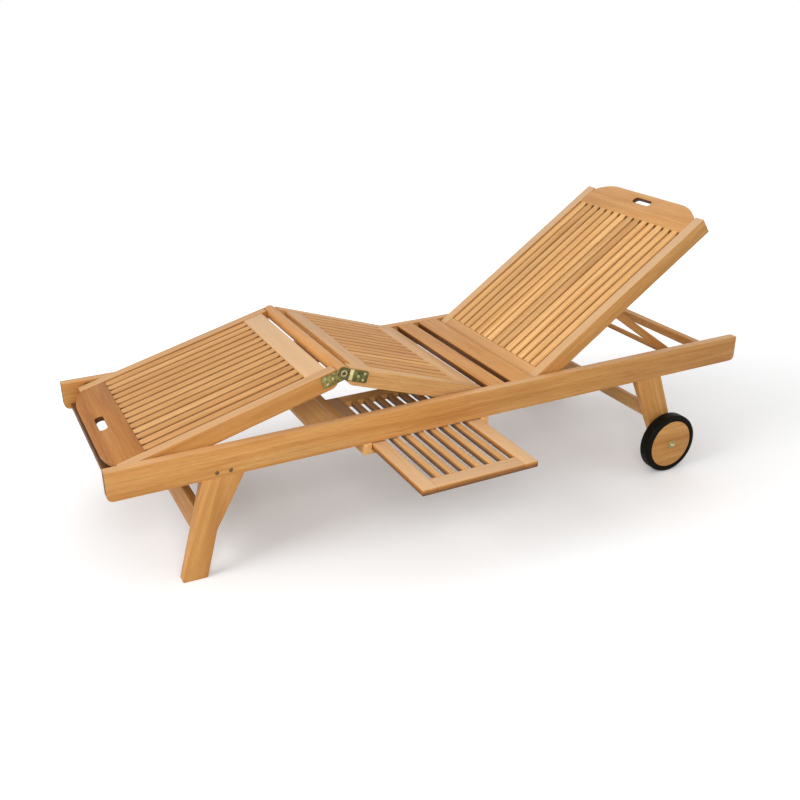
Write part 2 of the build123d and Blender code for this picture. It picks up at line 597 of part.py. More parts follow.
def build_wheels():
    """Two wooden wheels with rubber tyres, each on its own bolt through a head leg."""
    spacer_end = HALF + SPACER_LENGTH
    bush = near_span(spacer_end + END_PLAY + WHEEL_THICK + 2 * BUSH_PROUD, spacer_end + END_PLAY)
    face = near_span(-bush[0] - BUSH_PROUD, -bush[1] + BUSH_PROUD)
    tyre = ring(WHEEL_RADIUS, DISC_WHEEL_RADIUS + FIT, face)
    shoulders = tyre.edges().filter_by(GeomType.CIRCLE).sort_by(lambda e: e.radius)[-2:]
    pair("wheel_tyre", fillet(shoulders, TYRE_EASE))
    pair("wheel_disc", ring(DISC_WHEEL_RADIUS, BUSH_RADIUS + FIT, face))
    pair("wheel_bush", ring(BUSH_RADIUS, AXLE_RADIUS + FIT, bush))
    washer = (bush[0] - END_PLAY - WASHER_THICK, bush[0] - END_PLAY)
    nut = (washer[0] - NUT_HEIGHT, washer[0])
    head = (-INNER, AXLE_HEAD_HEIGHT - INNER)
    bolt = rod(AXLE_X, AXLE_Z, AXLE_RADIUS, (washer[0], -INNER))
    nodes["axle_bolts"] = both(bolt + rod(AXLE_X, AXLE_Z, AXLE_HEAD_RADIUS, head))
    nodes["axle_spacers"] = both(ring(SPACER_RADIUS, AXLE_RADIUS + FIT, near_span(spacer_end, HALF)))
    dome = Pos(AXLE_X, nut[0], AXLE_Z) * Sphere(NUT_RADIUS) & box(
        (0, RAIL_LENGTH), (nut[0] - NUT_RADIUS / 2, nut[0]), (AXLE_Z - NUT_RADIUS, AXLE_Z + NUT_RADIUS))
    cap = rod(AXLE_X, AXLE_Z, NUT_RADIUS, nut) + dome
    nodes["wheel_nuts"] = both(cap + ring(WASHER_RADIUS, AXLE_RADIUS + FIT, washer))


def place_on_floor():
    """Rake the lounger onto the floor and centre its box over the origin."""
    rake = Rot(0, -RAKE, 0) * Pos(-FOOT_X, 0, 0)
    raked = {name: rake * part for name, part in nodes.items()}
    bounds = [part.bounding_box() for part in raked.values()]
    low = [min(getattr(b.min, axis) for b in bounds) for axis in "XYZ"]
    high = [max(getattr(b.max, axis) for b in bounds) for axis in "XYZ"]
    centre = Pos(-(low[0] + high[0]) / 2, -(low[1] + high[1]) / 2, -low[2])
    print("box", [round(v, 2) for v in low], [round(v, 2) for v in high])
    return {name: centre * part for name, part in raked.items()}


build_rails()
build_legs()
build_cross_members()
build_racks()
build_frame_pins()
build_back()
build_prop()
build_thigh()
build_calf()
build_tray()
build_wheels()

for node_name, solid in place_on_floor().items():
    export_step(solid, f"parts/{node_name}.step")
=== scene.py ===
"""Looks of a reclining sun lounger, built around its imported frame.

Metres. +X runs to the head end, the pulled-out tray is on the -Y side, +Z is up.
"""
import json
import math
import random

import bmesh
import bpy
from mathutils import Matrix, Vector


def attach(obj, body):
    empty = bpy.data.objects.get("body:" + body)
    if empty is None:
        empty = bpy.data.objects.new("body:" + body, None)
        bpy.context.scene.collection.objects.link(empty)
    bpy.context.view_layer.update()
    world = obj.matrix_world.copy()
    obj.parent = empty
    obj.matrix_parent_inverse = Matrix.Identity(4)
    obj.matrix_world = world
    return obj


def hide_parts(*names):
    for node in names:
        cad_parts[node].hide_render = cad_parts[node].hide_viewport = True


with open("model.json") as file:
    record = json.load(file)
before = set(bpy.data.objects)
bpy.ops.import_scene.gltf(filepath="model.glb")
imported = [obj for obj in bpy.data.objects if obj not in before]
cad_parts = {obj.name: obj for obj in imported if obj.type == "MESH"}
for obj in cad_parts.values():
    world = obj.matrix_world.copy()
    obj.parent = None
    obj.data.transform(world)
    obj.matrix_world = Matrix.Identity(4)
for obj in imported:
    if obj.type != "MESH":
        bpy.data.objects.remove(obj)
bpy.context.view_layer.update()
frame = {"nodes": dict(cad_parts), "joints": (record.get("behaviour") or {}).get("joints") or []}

# Angles of the panels, in degrees
RAKE = 1.42
BACK_ANGLE = 34.5
THIGH_ANGLE = 18.75
CALF_ANGLE = 14.92605

# The side frames, measured along the rails and up from the soles
SIDES = ("near", "far")
HALF_WIDTH = 0.312
THIGH_PIVOT = (1.040, 0.345)
BOLTS_X = (0.270, 0.306)
BOLTS_Z = 0.2945
BOLT_RADIUS = 0.0055
BOLT_HEIGHT = 0.0020

# How legs lean: top and foot along the rails, and the rise between them; the prop's from its top
LEG_LEANS = {"foot_leg": (0.286, 0.187, 0.28), "head_leg": (1.650, 1.741, 0.215)}
PROP_LEAN = (0, 0.286, 0.204)

# Section of the panels, whose faces lie AXIS_DEPTH above their pivots
PANEL_HALF = 0.2795
STILE_WIDTH = 0.033
STILE_INNER = PANEL_HALF - STILE_WIDTH
AXIS_DEPTH = 0.018
END_BOARD_THICK = 0.015
SLOT_HALF = 0.0425
SLAT_COUNT = 14
SLAT_GAP = 0.0085
SLAT_THICK = 0.014
SLAT_ROUND = 0.0046
SLAT_ROUND_STEPS = 5
SLAT_WIDTH = (2 * STILE_INNER - (SLAT_COUNT + 1) * SLAT_GAP) / SLAT_COUNT

# Where the slats lie along each panel, from its pivot or the knee
BACK_SLATS = (0.017, 0.624)
THIGH_SLATS = (0.092, 0.366)
CALF_SLATS = (-0.534, -0.094)

# Tray
TRAY_FIELD = (0.741, 0.998)
TRAY_RUN = (-0.551, -0.033)
TRAY_TOP = 0.2765
TRAY_THICK = 0.018
TRAY_SLATS = 6
TRAY_SLOT = 0.0225
TRAY_FIELD_WIDTH = TRAY_FIELD[1] - TRAY_FIELD[0]
TRAY_SLAT_WIDTH = (TRAY_FIELD_WIDTH - (TRAY_SLATS + 1) * TRAY_SLOT) / TRAY_SLATS

# Softened edges
FRAME_SOFT = 0.0025
STILE_SOFT = 0.0030
BOARD_SOFT = 0.0030
TRAY_SOFT = 0.0022
BAR_SOFT = 0.0015
RACK_SOFT = 0.0010
METAL_SOFT = 0.0005
SHARP_ANGLE = math.radians(40)
FLAT_ANGLE = math.radians(1)
MERGE_REACH = 1e-6

# How strong the darkening gets in end grain (darker end grain with painted shade), and the painted
# shade in the end boards' slots and down the sides of seat slats and tray
END_GRAIN_AND_SHADE = 0.9
SLOT_SHADE = 1.0
SEAT_GAP_SHADE = 2.4
TRAY_EDGE_SHADE = 0.75

# How far the painted shade keeps off a slot's rims, and how far it reaches in from a slat's end
SLOT_RIM = 0.0005
SLAT_END = 0.014

# How sharply the darkening of end grain stops at faces that turn away from the end
END_FALL = 4

# How far each board's tone and place in the grain may stray
TONE_SPREAD = 0.06
GRAIN_SHIFT = 9

# Knee hinges, measured from the knee
LEAF_THICK = 0.004
LEAF_FACE = PANEL_HALF + LEAF_THICK
NECK_THICK = 0.002
NECK_FACE = PANEL_HALF + NECK_THICK
NECK_SPAN = (0.0177, 0.0288)
NECK_HEIGHT = 0.030
NECK_MIDDLE = -0.0015
NECK_PROUD = 0.0006
NECK_EASE = 0.4 * NECK_PROUD
SCREW_RADIUS = 0.0040
SCREW_HEIGHT = 0.0013
LEAF_SCREWS = {"calf": ((-0.032, -0.001), (-0.052, 0.007), (-0.050, -0.010)),
               "thigh": ((0.044, -0.002), (0.062, 0.007), (0.060, -0.011))}
KNEE_HEAD_RADIUS = 0.009
KNEE_HEAD_HEIGHT = 0.0012
KNEE_HEAD_LIFT = 0.0001
KNEE_HEAD_EASE = 0.0004
KNEE_WELL_RADIUS = 0.58 * KNEE_HEAD_RADIUS
KNEE_SCREW_RADIUS = 0.95 * KNEE_WELL_RADIUS
KNEE_SCREW_HEIGHT = 0.8 * KNEE_HEAD_HEIGHT
COLLAR_SPAN = (0.0105, 0.0168)
COLLAR_PROUD = 0.0007
COLLAR_SUNK = 0.0002
COLLAR_EASE = 0.0002

# A screw head's faces, and the block that cuts its driver slot, sized in radii and heights
SCREW_SEGMENTS = 28
SCREW_RINGS = 14
SLOT_BLOCK = (3.0, 0.24, 1.0)

# Wheels, measured out from the middle of the lounger
WHEEL_RADIUS = 0.096
WHEEL_DISC_RADIUS = 0.078
WHEEL_MIDDLE = 0.342
WHEEL_HALF = 0.019
WHEEL_INNER = WHEEL_MIDDLE - WHEEL_HALF
WHEEL_OUTER = WHEEL_MIDDLE + WHEEL_HALF
WHEEL_BORE = 0.0111
DISC_TONES = (0.3, 0.6)
SHOULDER = 0.007
DISC_EASE = 0.0025
WASHER_FACE = 0.3625
WASHER_BORE = 0.006
WASHER_RADIUS = 0.013
WASHER_EASE = 0.0004
NUT_FACE = 0.3645
NUT_RADIUS = 0.010
NUT_TOP_RADIUS = 0.9 * NUT_RADIUS
NUT_EASE = 0.001
CAP_FACE = 0.3705
DOME_RADIUS = 0.78 * NUT_RADIUS
DOME_SUNK = 0.002

# The groove in a tyre's sides, by how far out from the disc and how deep
TYRE_GROOVE = ((0.0, 0.0), (0.0022, 0.0), (0.0028, 0.0009), (0.0048, 0.0009), (0.0054, 0.0))

# Studio, where the floor's glow rises from its first strength to its second over the reach, leaving a
# painted shadow on the floor round the lounger
FLOOR_SIZE = 160
FLOOR_DROP = 0.0005
FLOOR_SEEN = (1.0, 1.0, 1.0)
FLOOR_BOUNCE = (0.42, 0.42, 0.42)
FLOOR_GLOW = (0.05, 0.38)
PAINTED_SHADOW_REACH = (0.45, 1.3)
PAINTED_SHADOW_STRETCH = (0.45, 1, 1)
SKY_LIGHT = 0.62
SKY_SEEN = 1.0

# Lamps by name, place, size and power
LAMPS = (("key", (-5.2, -0.8, 3.2), 2.8, 146), ("front", (-1.3, -2.6, 1.9), 1.3, 37),
         ("fill", (2.6, 2.4, 2.4), 3.0, 14))
LAMP_AIM = (0, 0, 0.3)

# Camera, with its turn in degrees and its lens in millimetres
CAMERA_PLACE = (-1.29552, -2.2607, 1.41852)
CAMERA_TURN = (66.3868, -1.1365, -27.1032)
SENSOR_WIDTH = 36.0
LENS_LENGTH = 42.631

rng = random.Random(41)
joints = {joint["name"]: joint for joint in frame["joints"]}


def joint_point(name):
    """A joint's place at rest."""
    return Vector(joints[name]["pos_m"])


def panel_frame(pivot, degrees):
    """A panel's own axes: X along its slats, Y across, Z out of its face."""
    return Matrix.Translation(pivot) @ Matrix.Rotation(math.radians(degrees), 4, "Y")


BACK = panel_frame(joint_point("back_recline"), -BACK_ANGLE - RAKE)
THIGH = panel_frame(joint_point("knee_fold"), THIGH_ANGLE - RAKE)
CALF = panel_frame(joint_point("knee_fold"), -CALF_ANGLE - RAKE)
RAILS = Matrix.Rotation(math.radians(-RAKE), 4, "Y")
CROSS = Matrix.Rotation(math.radians(90), 4, "Z")
MID_Y = joint_point("back_recline").y


def rail_place(x, y, z):
    """A point given along the rails, across, and up from the soles."""
    offset = Vector((x - THIGH_PIVOT[0], y, z - THIGH_PIVOT[1]))
    return joint_point("knee_lift") + RAILS.to_3x3() @ offset


def lean(top_x, foot_x, rise):
    """Axes whose X runs up a leaning leg."""
    return Matrix.Rotation(-math.atan2(rise, top_x - foot_x), 4, "Y")


def outward(side):
    """Turns a piece made for the far side to the side it belongs on."""
    return Matrix.Rotation(math.pi if side == "near" else 0, 4, "Z")


def side_face(axes, out, side):
    """Axes on a side face of the lounger: Z points out of it."""
    way = -1 if side == "near" else 1
    turn = Matrix.Rotation(math.radians(-90 * way), 4, "X")
    return axes @ Matrix.Translation((0, way * out, 0)) @ turn


# Node trees

class Nodes:
    """A node tree, with short ways to add and join its nodes."""

    def __init__(self, tree):
        self.tree = tree

    def plug(self, socket, value):
        """Feeds a socket from another one, or with a plain value."""
        if isinstance(value, bpy.types.NodeSocket):
            self.tree.links.new(value, socket)
        else:
            socket.default_value = value

    def add(self, kind, inputs=None, **settings):
        """A new node with its settings made and its named inputs fed."""
        node = self.tree.nodes.new(kind)
        for key, value in settings.items():
            setattr(node, key, value)
        for key, value in (inputs or {}).items():
            self.plug(next(s for s in node.inputs if s.enabled and s.name == key), value)
        return node

    def out(self, *args, **settings):
        """A new node's first live output."""
        return next(s for s in self.add(*args, **settings).outputs if s.enabled)

    def math(self, operation, first, second, kind="ShaderNodeMath"):
        """Two numbers, or two vectors, put together."""
        node = self.add(kind, operation=operation)
        for socket, value in zip(node.inputs, (first, second)):
            self.plug(socket, value)
        return node.outputs[0]


def grey(level):
    """A colour without hue."""
    return (level, level, level)


def opaque(colour):
    """A colour with its alpha, as sockets take it."""
    return (*colour, 1)


class Finish(Nodes):
    """A material's nodes, with short ways to lay its colours on."""

    def __init__(self, name):
        self.material = bpy.data.materials.new(name)
        self.material.use_nodes = True
        super().__init__(self.material.node_tree)
        self.shader = self.tree.nodes["Principled BSDF"]

    def feed(self, inputs):
        """Feeds the shader's named inputs."""
        for key, value in inputs.items():
            self.plug(self.shader.inputs[key], value)

    def coordinate(self, name="Object"):
        """Where a spot lies, or which way it faces."""
        return self.add("ShaderNodeTexCoord").outputs[name]

    def attribute(self, name, output="Fac"):
        """What a piece's mesh carries under a name."""
        return self.add("ShaderNodeAttribute", attribute_name=name).outputs[output]

    def noise(self, place, stretch, detail, roughness=0.55, distortion=0.0):
        """Noise drawn out along each axis in its own measure."""
        mapped = self.out("ShaderNodeMapping", {"Vector": place, "Scale": stretch})
        return self.out("ShaderNodeTexNoise", {"Vector": mapped, "Scale": 1.0, "Detail": detail,
                                               "Roughness": roughness, "Distortion": distortion})

    def ramp(self, factor, stops):
        """Colours that change along factor, by (place, colour) stops."""
        node = self.add("ShaderNodeValToRGB", {"Fac": factor})
        elements = node.color_ramp.elements
        while len(elements) < len(stops):
            elements.new(0.5)
        for element, (place, colour) in zip(elements, stops):
            element.position = place
            element.color = opaque(colour)
        return node.outputs["Color"]

    def mix(self, share, first, second, mode="MIX"):
        """Two colours mixed."""
        return self.out("ShaderNodeMix", {"Factor": share, "A": first, "B": second},
                        data_type="RGBA", blend_type=mode)

    def shaded(self, colour, factor, stops, share=1.0):
        """A colour times a ramp along factor, by a share."""
        return self.mix(share, colour, self.ramp(factor, stops), "MULTIPLY")

    def bump(self, height, strength, distance):
        """Makes the surface uneven."""
        uneven = self.out("ShaderNodeBump", {"Height": height, "Strength": strength,
                                             "Distance": distance})
        self.feed({"Normal": uneven})


class Growth(Nodes):
    """A geometry-nodes tree with named inputs."""

    def __init__(self, name, inputs):
        super().__init__(bpy.data.node_groups.new(name, "GeometryNodeTree"))
        sockets = self.tree.interface
        sockets.new_socket("Geometry", in_out="OUTPUT", socket_type="NodeSocketGeometry")
        for key, kind in inputs.items():
            sockets.new_socket(key, in_out="INPUT", socket_type="NodeSocket" + kind)
        self.given = self.add("NodeGroupInput").outputs

    def random(self, low, high, data_type):
        """A number or vector that each instance draws for itself."""
        return self.out("FunctionNodeRandomValue",
                        {"Min": low, "Max": high, "Seed": self.given["Seed"]}, data_type=data_type)

    def store(self, geometry, name, value, domain="POINT", data_type="FLOAT_VECTOR"):
        """Geometry that carries a named attribute."""
        return self.out("GeometryNodeStoreNamedAttribute",
                        {"Geometry": geometry, "Name": name, "Value": value},
                        data_type=data_type, domain=domain)

    def stored(self, name):
        """A vector attribute, read back."""
        return self.out("GeometryNodeInputNamedAttribute", {"Name": name},
                        data_type="FLOAT_VECTOR")

    def finish(self, geometry):
        """Ends the tree with the geometry in the given material."""
        shown = self.out("GeometryNodeSetMaterial",
                         {"Geometry": geometry, "Material": self.given["Material"]})
        self.plug(self.add("NodeGroupOutput").inputs[0], shown)
        return self.tree


# Materials

WHITE = grey(1.0)
# Painted sheen: upward faces of the wood are paled towards cream
SHEEN_CREAM = (0.68, 0.47, 0.28)
SHEEN_SHARE = 0.75
SHEEN_FROM = 0.45
SHEEN_FULLY = 0.85

# What painted shade (with the darker end grain and foot board) and a board's tone do to the colour of
# the wood
SHADE_AND_DARKENING_STOPS = ((0.05, WHITE), (0.3, (0.58, 0.48, 0.38)), (0.7, (0.20, 0.15, 0.10)))
TONE_TINTS = ((0.0, (0.69, 0.53, 0.29)), (0.35, (1.0, 0.94, 0.86)), (0.65, (1.02, 1.0, 0.96)),
              (1.0, (1.40, 1.40, 1.30)))


def upward_sheen(wood):
    """How much painted sheen a spot gets: only upward faces, and each board in its own measure."""
    facing = wood.add("ShaderNodeSeparateXYZ", {"Vector": wood.coordinate("Normal")})
    upward = wood.out("ShaderNodeMapRange", {"Value": facing.outputs["Z"],
                                             "From Min": SHEEN_FROM, "From Max": SHEEN_FULLY})
    return wood.math("MULTIPLY", upward, wood.attribute("top_sheen"))


def teak(name, pale, deep, streak):
    """Oiled hardwood: long figure, fine fibres and dark pores that follow the grain attribute."""
    wood = Finish(name)
    grain = wood.attribute("grain", "Vector")
    figure = wood.noise(grain, (1.6, 34, 34), detail=4, roughness=0.6, distortion=0.9)
    fibre = wood.noise(grain, (7, 330, 330), detail=3, roughness=0.6)
    pores = wood.noise(grain, (32, 1300, 1300), detail=2, roughness=0.5)
    cloud = wood.noise(grain, (3, 9, 9), detail=2)
    colour = wood.ramp(figure, ((0.30, deep), (0.52, pale), (0.72, streak)))
    colour = wood.shaded(colour, fibre, ((0.30, (0.74, 0.70, 0.64)), (0.62, WHITE)), share=0.65)
    colour = wood.shaded(colour, pores, ((0.30, (0.48, 0.36, 0.26)), (0.40, WHITE)), share=0.55)
    colour = wood.shaded(colour, cloud, ((0.30, (0.90, 0.84, 0.78)), (0.70, (1.06, 1.04, 1.0))),
                         share=0.6)
    # Painted shade in gaps, slots and under edges, with the darker end grain and foot board
    colour = wood.shaded(colour, wood.attribute("grime"), SHADE_AND_DARKENING_STOPS)
    colour = wood.shaded(colour, wood.attribute("tone"), TONE_TINTS)
    # Painted sheen: upward faces paled towards cream
    sheened = wood.mix(SHEEN_SHARE, colour, opaque(SHEEN_CREAM))
    colour = wood.mix(upward_sheen(wood), colour, sheened)
    rough = wood.ramp(fibre, ((0.3, grey(0.62)), (0.7, grey(0.46))))
    wood.feed({"Base Color": colour, "Roughness": rough, "Specular IOR Level": 0.35})
    wood.bump(fibre, strength=0.22, distance=0.0006)
    return wood.material


def aged_brass(name, bright, dull):
    """Cast brass gone dull, with worn patches."""
    brass = Finish(name)
    place = brass.coordinate()
    patches = brass.noise(place, (120, 120, 120), detail=5, roughness=0.65)
    specks = brass.noise(place, (620, 620, 620), detail=3)
    colour = brass.ramp(patches, ((0.34, dull), (0.66, bright)))
    colour = brass.shaded(colour, specks, ((0.35, (0.62, 0.62, 0.56)), (0.6, WHITE)), share=0.6)
    rough = brass.ramp(patches, ((0.3, grey(0.58)), (0.7, grey(0.34))))
    brass.feed({"Base Color": colour, "Roughness": rough, "Metallic": 0.85})
    brass.bump(specks, strength=0.3, distance=0.0004)
    return brass.material


def plain_steel(name):
    """Satin steel with fine turning marks."""
    steel = Finish(name)
    marks = steel.noise(steel.coordinate(), (900, 60, 900), detail=3)
    colour = steel.ramp(marks, ((0.3, (0.36, 0.35, 0.33)), (0.7, (0.62, 0.61, 0.58))))
    rough = steel.ramp(marks, ((0.3, grey(0.42)), (0.7, grey(0.28))))
    steel.feed({"Base Color": colour, "Roughness": rough, "Metallic": 0.9})
    return steel.material


def tarnished_steel(name, dark, pale):
    """Steel with stains on it."""
    steel = Finish(name)
    stains = steel.noise(steel.coordinate(), (700, 700, 700), detail=3)
    colour = steel.ramp(stains, ((0.3, dark), (0.7, pale)))
    steel.feed({"Base Color": colour, "Roughness": 0.45, "Metallic": 0.7})
    return steel.material


def tyre_rubber(name):
    """Black rubber with a faint bloom of dust."""
    rubber = Finish(name)
    place = rubber.coordinate()
    dust = rubber.noise(place, (45, 45, 45), detail=4)
    pimples = rubber.noise(place, (1500, 1500, 1500), detail=1)
    colour = rubber.ramp(dust, ((0.35, (0.0032, 0.0024, 0.0012)), (0.75, (0.0085, 0.007, 0.004))))
    rough = rubber.ramp(dust, ((0.3, grey(0.42)), (0.7, grey(0.60))))
    rubber.feed({"Base Color": colour, "Roughness": rough, "Specular IOR Level": 0.07})
    rubber.bump(pimples, strength=0.12, distance=0.0003)
    return rubber.material


FRAME_TEAK = teak("frame_teak", (0.66, 0.335, 0.102), (0.53, 0.242, 0.062), (0.72, 0.41, 0.150))
SLAT_TEAK = teak("slat_teak", (0.68, 0.39, 0.155), (0.56, 0.285, 0.095), (0.74, 0.46, 0.205))
OLIVE_BRASS = aged_brass("olive_brass", (0.36, 0.31, 0.100), (0.14, 0.122, 0.037))
GREEN_BRASS = aged_brass("green_brass", (0.215, 0.187, 0.068), (0.072, 0.070, 0.025))
BRIGHT_BRASS = aged_brass("bright_brass", (0.86, 0.78, 0.42), (0.62, 0.54, 0.26))
WORN_BRASS = aged_brass("worn_brass", (0.58, 0.56, 0.32), (0.32, 0.32, 0.15))
PALE_BRASS = aged_brass("pale_brass", (0.62, 0.55, 0.31), (0.40, 0.34, 0.16))
# Dark brass for the knee collars: a painted shade ring
SHADE_RING_BRASS = aged_brass("brown_brass", (0.19, 0.17, 0.070), (0.060, 0.055, 0.022))
STEEL = plain_steel("plain_steel")
# Dark steel for the knee screws, partly painted shade for the well round them
WELL_SHADE_STEEL = tarnished_steel("dark_steel", (0.035, 0.030, 0.022), (0.10, 0.085, 0.06))
BROWN_STEEL = tarnished_steel("brown_steel", (0.075, 0.040, 0.014), (0.24, 0.145, 0.065))
YELLOW_STEEL = tarnished_steel("yellow_steel", (0.30, 0.25, 0.11), (0.56, 0.48, 0.26))
RUBBER = tyre_rubber("tyre_rubber")


# Making pieces

def in_scene(name, data):
    """A new object in the scene."""
    thing = bpy.data.objects.new(name, data)
    bpy.context.scene.collection.objects.link(thing)
    return thing


def piece_from(mesh, name, material, body, node=None):
    """A mesh as a smooth-shaded piece that rides on a body, and may stand in for a node."""
    mesh.materials.clear()
    mesh.materials.append(material)
    for polygon in mesh.polygons:
        polygon.material_index = 0
        polygon.use_smooth = True
    mesh.set_sharp_from_angle(angle=SHARP_ANGLE)
    piece = in_scene(name, mesh)
    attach(piece, body)
    if node:
        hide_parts(node)
    return piece


def mesh_from(body, name):
    """The mesh of a finished bmesh."""
    mesh = bpy.data.meshes.new(name)
    body.to_mesh(mesh)
    body.free()
    return mesh


def softened_copy(node, width, segments=3):
    """A node's mesh with its sharp edges rounded."""
    body = bmesh.new()
    body.from_mesh(frame["nodes"][node].data)
    bmesh.ops.remove_doubles(body, verts=body.verts, dist=MERGE_REACH)
    bmesh.ops.dissolve_limit(body, angle_limit=FLAT_ANGLE, verts=body.verts, edges=body.edges)
    sharp = [e for e in body.edges if e.is_convex and e.calc_face_angle(0) > SHARP_ANGLE]
    bmesh.ops.bevel(body, geom=sharp, offset=width, segments=segments, profile=0.5,
                    affect="EDGES", clamp_overlap=True)
    return mesh_from(body, node + "_soft")


def set_grain(mesh, axes, tone, top_sheen=0.0, grime=0.0):
    """Gives a wooden mesh its grain coordinates along axes' X, its tone, its painted sheen on upward
    faces, and its painted shade and darkening.
    """
    inverse = axes.to_3x3().inverted()
    shift = Vector([rng.uniform(-GRAIN_SHIFT, GRAIN_SHIFT) for _ in range(3)])
    grain = mesh.attributes.new("grain", "FLOAT_VECTOR", "POINT")
    for vertex, entry in zip(mesh.vertices, grain.data):
        entry.vector = inverse @ vertex.co + shift
    for name, value in (("tone", tone), ("top_sheen", top_sheen), ("grime", grime)):
        shade = mesh.attributes.new(name, "FLOAT", "POINT")
        shade.data.foreach_set("value", [value] * len(mesh.vertices))


def wooden(node, body, axes, width, tone, top_sheen=0.0, grime=0.0,
           material=FRAME_TEAK):
    """A node shown as a softened board with grain along axes' X; gives the board's mesh."""
    mesh = softened_copy(node, width)
    set_grain(mesh, axes, tone + rng.uniform(-TONE_SPREAD, TONE_SPREAD), top_sheen, grime)
    return piece_from(mesh, "wood." + node, material, body, node).data


def metal(node, body, material=STEEL):
    """A node shown as metal with its edges broken."""
    mesh = softened_copy(node, METAL_SOFT, segments=2)
    piece_from(mesh, "metal." + node, material, body, node)


def paint_shade_down_sides(mesh, axes, amount):
    """Painted shade that deepens from a board's face down to its underside."""
    up = axes.to_3x3().col[2].normalized()
    heights = [vertex.co.dot(up) for vertex in mesh.vertices]
    top, low = max(heights), min(heights)
    depths = [amount * (top - height) / (top - low) for height in heights]
    mesh.attributes["grime"].data.foreach_set("value", depths)


def paint_end_grain_and_shade(mesh, axes, amount):
    """Darker end grain with painted shade on the ends of a board that runs along axes' X."""
    along = axes.to_3x3().col[0].normalized()
    shares = [amount * abs(vertex.normal.dot(along)) ** END_FALL for vertex in mesh.vertices]
    mesh.attributes["grime"].data.foreach_set("value", shares)


def paint_slot_shade(mesh, axes):
    """Painted shade on the walls of the slot in the middle of an end board."""
    inverse = axes.inverted()
    low, high = AXIS_DEPTH - END_BOARD_THICK + SLOT_RIM, AXIS_DEPTH - SLOT_RIM
    for vertex, entry in zip(mesh.vertices, mesh.attributes["grime"].data):
        place = inverse @ vertex.co
        if abs(place.y) < SLOT_HALF and low < place.z < high:
            entry.value = SLOT_SHADE


def arc(centre, radius, start, end, steps):
    """Points round an arc, with angles in degrees."""
    turns = [math.radians(start + (end - start) * i / steps) for i in range(steps + 1)]
    return [(centre[0] + radius * math.cos(t), centre[1] + radius * math.sin(t)) for t in turns]


def ring_profile(inner, outer, low, high, ease):
    """The section of a flat ring with its upper edges eased."""
    return [(inner, low), (outer, low), (outer, high - ease), (outer - ease, high),
            (inner + ease, high), (inner, high - ease), (inner, low)]


def turned(name, profile, segments=96):
    """A body turned about Y from (radius, along) points, with its faces in a fixed order."""
    body = bmesh.new()
    points = [body.verts.new((radius, along, 0)) for radius, along in profile]
    edges = [body.edges.new(ends) for ends in zip(points, points[1:])]
    bmesh.ops.spin(body, geom=points + edges, cent=(0, 0, 0), axis=(0, 1, 0), dvec=(0, 0, 0),
                   angle=math.tau, steps=segments, use_duplicate=False)
    bmesh.ops.remove_doubles(body, verts=body.verts, dist=MERGE_REACH)
    bmesh.ops.recalc_face_normals(body, faces=body.faces)
    body.verts.index_update()
    corners = [vertex.co.copy() for vertex in body.verts]
    faces = sorted([vertex.index for vertex in face.verts] for face in body.faces)
    body.free()
    mesh = bpy.data.meshes.new(name)
    mesh.from_pydata(corners, [], faces)
    return mesh


def gathered(name, placed):
    """One mesh from (mesh, matrix) pairs."""
    body = bmesh.new()
    for mesh, matrix in placed:
        part = mesh.copy()
        part.transform(matrix)
        body.from_mesh(part)
    return mesh_from(body, name)


def on_both_sides(name, mesh, axes):
    """One mesh from a piece made for the far side and its like on the near side."""
    return gathered(name, [(mesh, axes @ outward(side)) for side in SIDES])


# Slats and screws, grown by geometry nodes

def slat_painted_shade(tree, place):
    """Painted shade that deepens down a slat's sides, with more of it towards the ends."""
    given = tree.given
    along, _, height = tree.add("ShaderNodeSeparateXYZ", {"Vector": place}).outputs
    half = tree.math("MULTIPLY", given["Thickness"], 0.5)
    depth = tree.math("DIVIDE", tree.math("SUBTRACT", half, height), given["Thickness"])
    grime = given["Painted Shade"]
    left = tree.math("SUBTRACT", given["Length"], along)
    for away, amount in ((along, "Start Painted Shade"), (left, "End Painted Shade")):
        near = tree.math("SUBTRACT", 1.0, tree.math("DIVIDE", away, SLAT_END))
        near = tree.math("MAXIMUM", near, 0.0)
        grime = tree.math("ADD", grime, tree.math("MULTIPLY", near, given[amount]))
    return tree.math("MULTIPLY", depth, grime)


